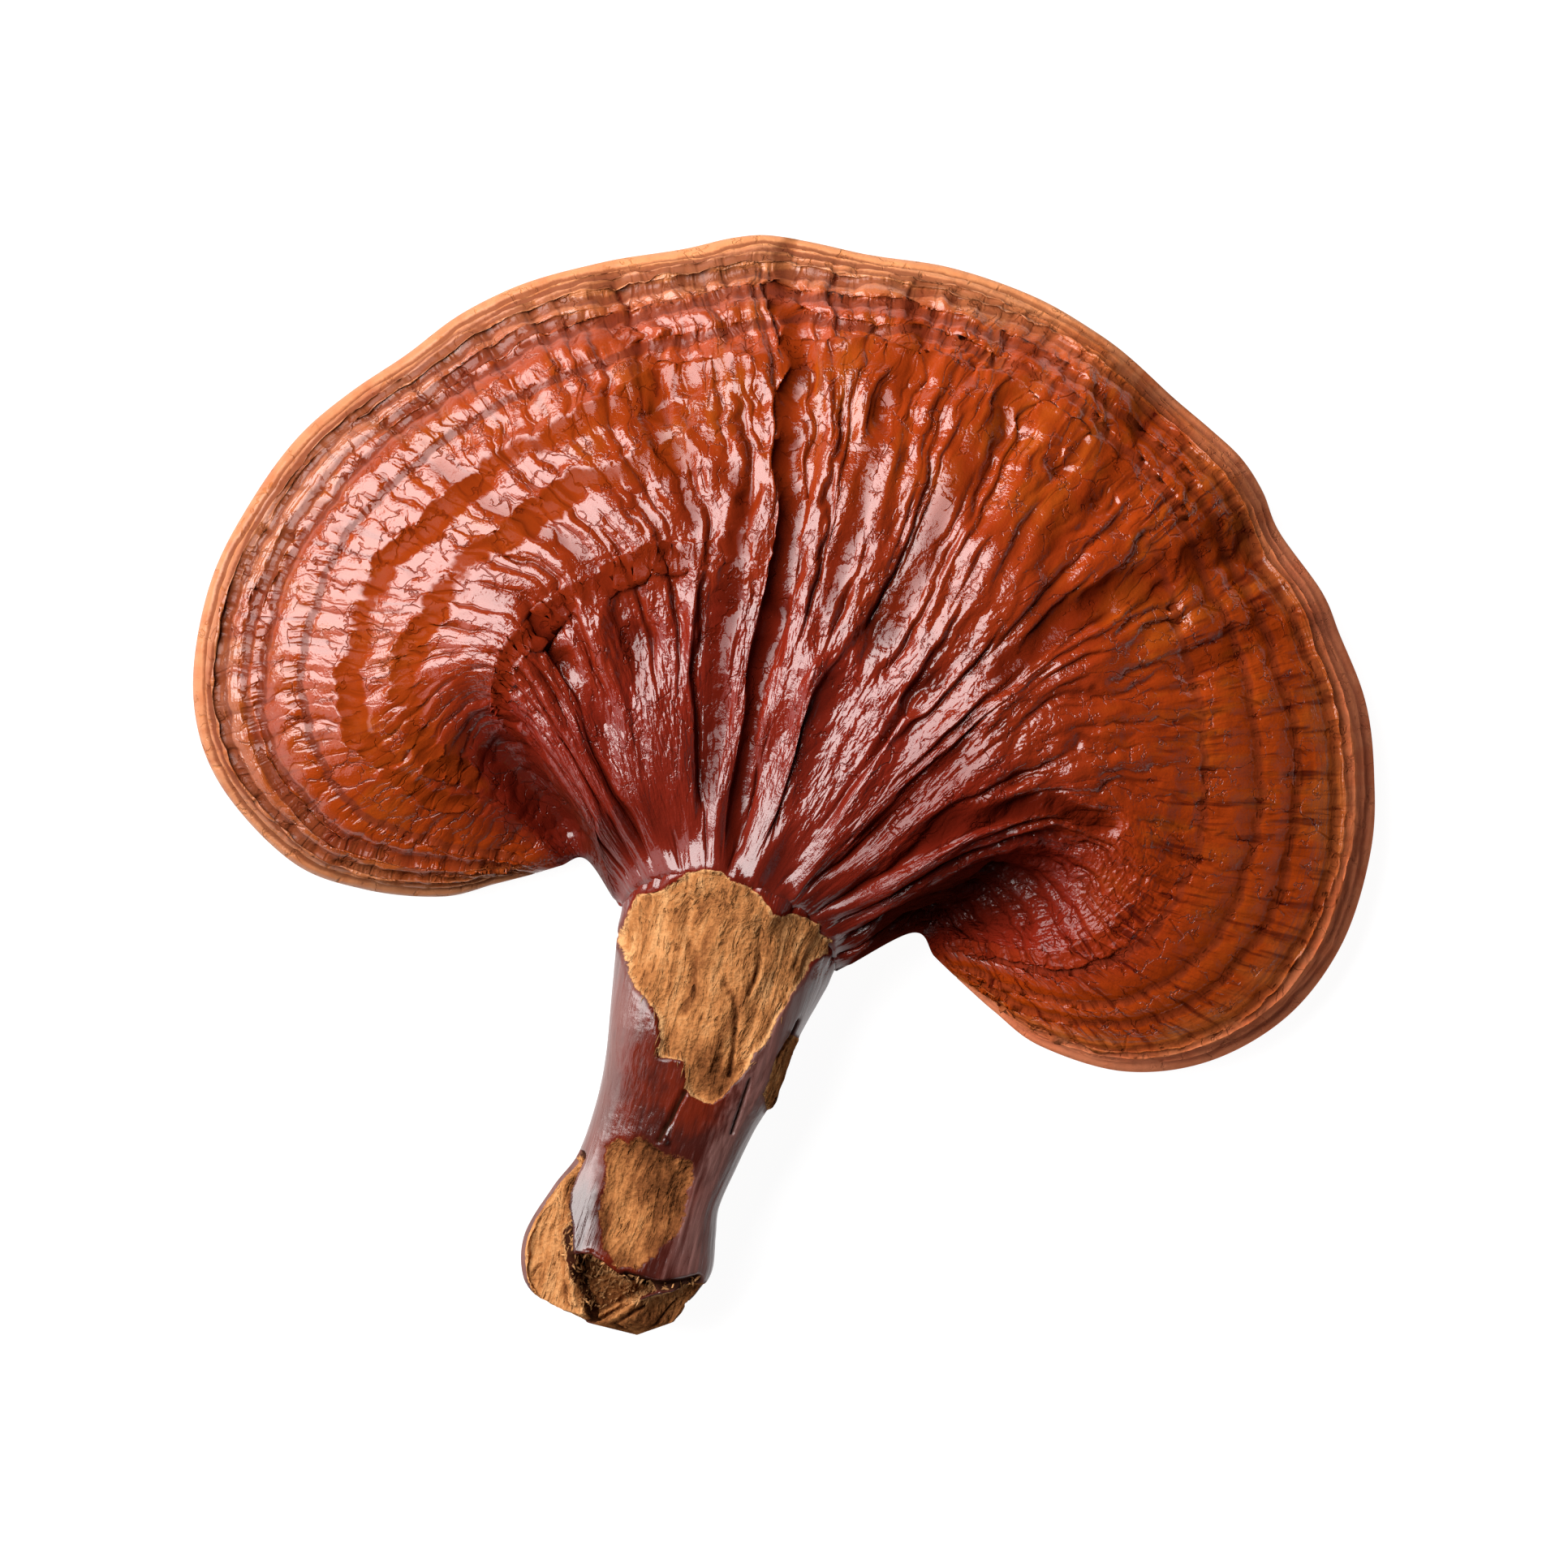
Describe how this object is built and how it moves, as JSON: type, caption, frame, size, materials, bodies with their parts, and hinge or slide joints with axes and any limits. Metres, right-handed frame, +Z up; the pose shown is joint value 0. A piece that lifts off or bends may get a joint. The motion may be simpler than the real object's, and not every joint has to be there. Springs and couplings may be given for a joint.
{
  "type": "reishi mushroom",
  "caption": "Dried bracket mushroom: a fan-shaped lacquered cap with growth furrows and a short woody side stem, lying flat on its pore face.",
  "frame": {"origin": "middle of the footprint, on the surface that the pore face rests on", "axes": "+X along the fan's long width, +Y from the foot of the stem to the far rim, +Z up from the pore face to the lacquered face"},
  "size_m": [0.1501, 0.1394, 0.0288],
  "materials": {
    "cap_crust": "hard lacquer-like crust, red-brown at the neck to orange-brown and tan at the rim, glossy",
    "stem_crust": "dark maroon crust, satin, worn through to bare tan fibrous wood in patches and at the foot"
  },
  "bodies": {
    "root": {"cap": "cap_crust", "stem": "stem_crust"}
  },
  "joints": []
}
